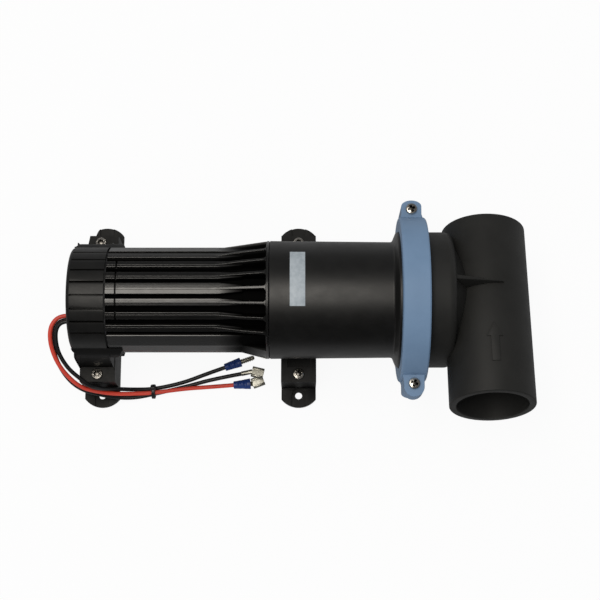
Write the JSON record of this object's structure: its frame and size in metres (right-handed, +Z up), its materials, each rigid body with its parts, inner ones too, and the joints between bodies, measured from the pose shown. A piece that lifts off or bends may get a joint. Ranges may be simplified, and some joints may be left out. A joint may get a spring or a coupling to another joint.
{
  "type": "electric diaphragm pump",
  "caption": "Self-priming electric diaphragm waste pump: finned motor cover, clamp ring, turnable head with a through pipe, bolt-down feet and three loose wires.",
  "frame": {"origin": "centre of the four foot holes, on the plane the feet stand on", "axes": "+X from the motor to the pump head, +Z up, away from the mounting surface"},
  "size_m": [0.337, 0.1537, 0.1181],
  "materials": {
    "black_plastic": "satin moulded black",
    "blue_plastic": "moulded blue-grey",
    "stainless": "stainless",
    "black_rubber": "soft moulded",
    "grey_nylon": "moulded",
    "bronze": "sintered",
    "copper": "enamelled copper",
    "steel": "plated",
    "ferrite": "sintered ceramic and carbon",
    "cast_frame": "die cast",
    "red_wire": "insulation",
    "black_wire": "insulation",
    "blue_sleeve": "crimp insulation",
    "tinned": "tinned brass"
  },
  "bodies": {
    "pump_body": {"motor_cover": "black_plastic", "end_cap": "black_plastic", "cover_seal": "black_rubber", "cable_grommet": "black_rubber", "pump_housing": "black_plastic", "rear_left_foot": "black_plastic", "rear_right_foot": "black_plastic", "front_left_foot": "black_plastic", "front_right_foot": "black_plastic", "foot_screws": "stainless", "tie_bolts": "stainless", "clamp_ring_upper": "blue_plastic", "clamp_ring_lower": "blue_plastic", "clamp_screws": "stainless", "clamp_nuts": "stainless", "diaphragm": "black_rubber", "motor_can": "steel", "end_bell": "steel", "motor_rear_bush": "bronze", "motor_front_bush": "bronze", "magnets": "ferrite", "brush_holder": "black_plastic", "brushes": "ferrite", "brush_springs": "steel", "gear_frame": "cast_frame", "shaft_end_bush": "bronze", "axle_bush": "bronze", "red_wire": "red_wire", "upper_black_wire": "black_wire", "middle_black_wire": "black_wire", "red_crimp_sleeve": "blue_sleeve", "black_crimp_sleeve": "blue_sleeve", "pin_terminal": "tinned", "spade_terminal": "tinned", "tab_terminal": "tinned", "cable_tie": "black_wire"},
    "head": {"pump_head": "black_plastic", "inlet_valve_seat": "black_plastic", "outlet_valve_seat": "black_plastic", "inlet_flap_pin": "stainless", "outlet_flap_pin": "stainless"},
    "inlet_flap": {"inlet_flap": "black_rubber"},
    "outlet_flap": {"outlet_flap": "black_rubber"},
    "armature": {"motor_shaft": "stainless", "armature_core": "steel", "armature_windings": "copper", "commutator": "copper", "worm": "steel"},
    "wheel": {"worm_wheel": "grey_nylon", "wheel_axle": "stainless", "crank_pin": "stainless"},
    "rod": {"connecting_rod": "grey_nylon", "rod_bush": "bronze", "diaphragm_rear_plate": "grey_nylon", "diaphragm_front_plate": "grey_nylon", "diaphragm_screw": "stainless"}
  },
  "joints": [
    {"name": "armature_spin", "type": "hinge", "parent": "pump_body", "child": "armature", "pos_m": [0, 0, 0.0605], "axis": [1, 0, 0], "continuous": true},
    {"name": "wheel_spin", "type": "hinge", "parent": "pump_body", "child": "wheel", "pos_m": [0.084, 0, 0.0431], "axis": [0, 1, 0], "continuous": true},
    {"name": "rod_orbit", "type": "hinge", "parent": "wheel", "child": "rod", "pos_m": [0.079, 0, 0.0431], "axis": [0, 1, 0], "continuous": true, "deforming": ["diaphragm"]},
    {"name": "head_turn", "type": "hinge", "parent": "pump_body", "child": "head", "pos_m": [0.15, 0, 0.0605], "axis": [1, 0, 0], "range_deg": [-180, 180]},
    {"name": "inlet_flap_swing", "type": "hinge", "parent": "head", "child": "inlet_flap", "pos_m": [0.2029, -0.01507, 0.08494], "axis": [1, 0, 0], "range_deg": [0, 40], "stiffness_Nm_per_rad": 0.002},
    {"name": "outlet_flap_swing", "type": "hinge", "parent": "head", "child": "outlet_flap", "pos_m": [0.2029, 0.02594, 0.07585], "axis": [1, 0, 0], "range_deg": [0, 40], "stiffness_Nm_per_rad": 0.002}
  ],
  "couplings": [
    {"joint": "wheel_spin", "follows": "armature_spin", "ratio": -0.05},
    {"joint": "rod_orbit", "follows": "armature_spin", "ratio": 0.05}
  ]
}
